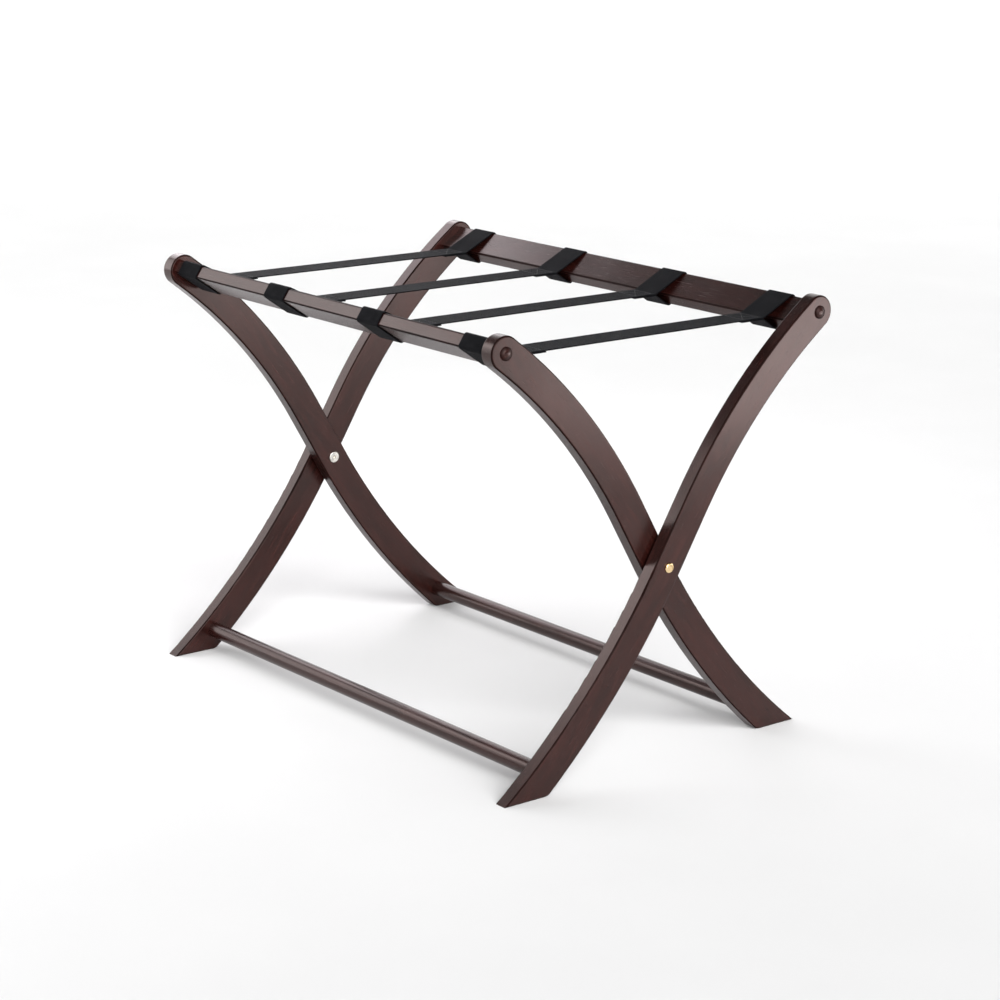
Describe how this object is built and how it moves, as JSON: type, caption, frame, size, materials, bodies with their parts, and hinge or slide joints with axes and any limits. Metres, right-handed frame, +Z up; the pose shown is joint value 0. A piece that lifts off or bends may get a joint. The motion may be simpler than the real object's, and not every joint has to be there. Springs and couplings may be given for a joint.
{
  "type": "folding luggage rack",
  "caption": "Folding luggage rack: two crossed frames of S-curved dark wood legs, pivoted at each end, joined by black webbing straps that hold it open.",
  "frame": {"origin": "on the floor, midway between the four feet, directly below the pivots at the middle of the rack", "axes": "+X along the top rails and stretchers, +Y across the rack towards the outer frame's top rail, +Z up"},
  "size_m": [0.674, 0.474, 0.508],
  "materials": {
    "espresso_wood": "satin lacquer over a dark espresso stain",
    "webbing": "woven nylon",
    "brass": "polished",
    "nickel": "nickel plated",
    "nylon": "matt",
    "steel": "zinc plated",
    "dowel_wood": "raw beech"
  },
  "bodies": {
    "outer_frame": {"outer_leg_left": "espresso_wood", "outer_leg_right": "espresso_wood", "outer_top_rail": "espresso_wood", "outer_stretcher": "espresso_wood", "outer_button_plug_left": "espresso_wood", "outer_button_plug_right": "espresso_wood", "outer_rail_screws": "steel", "outer_rail_dowels": "dowel_wood", "pivot_sleeve_nut_left": "brass", "pivot_bolt_left": "nickel", "pivot_washer_left": "nylon", "pivot_sleeve_nut_right": "brass", "pivot_bolt_right": "nickel", "pivot_washer_right": "nylon", "strap_1_outer_wrap": "webbing", "strap_1_web": "webbing", "strap_2_outer_wrap": "webbing", "strap_2_web": "webbing", "strap_3_outer_wrap": "webbing", "strap_3_web": "webbing", "strap_4_outer_wrap": "webbing", "strap_4_web": "webbing"},
    "inner_frame": {"inner_leg_left": "espresso_wood", "inner_leg_right": "espresso_wood", "inner_top_rail": "espresso_wood", "inner_stretcher": "espresso_wood", "inner_button_plug_left": "espresso_wood", "inner_button_plug_right": "espresso_wood", "inner_rail_screws": "steel", "inner_rail_dowels": "dowel_wood", "strap_1_inner_wrap": "webbing", "strap_2_inner_wrap": "webbing", "strap_3_inner_wrap": "webbing", "strap_4_inner_wrap": "webbing"}
  },
  "joints": [
    {"name": "fold", "type": "hinge", "parent": "outer_frame", "child": "inner_frame", "pos_m": [0, 0, 0.2285], "axis": [-1, 0, 0], "range_deg": [0, 70], "deforming": ["strap_1_web", "strap_2_web", "strap_3_web", "strap_4_web"]}
  ]
}
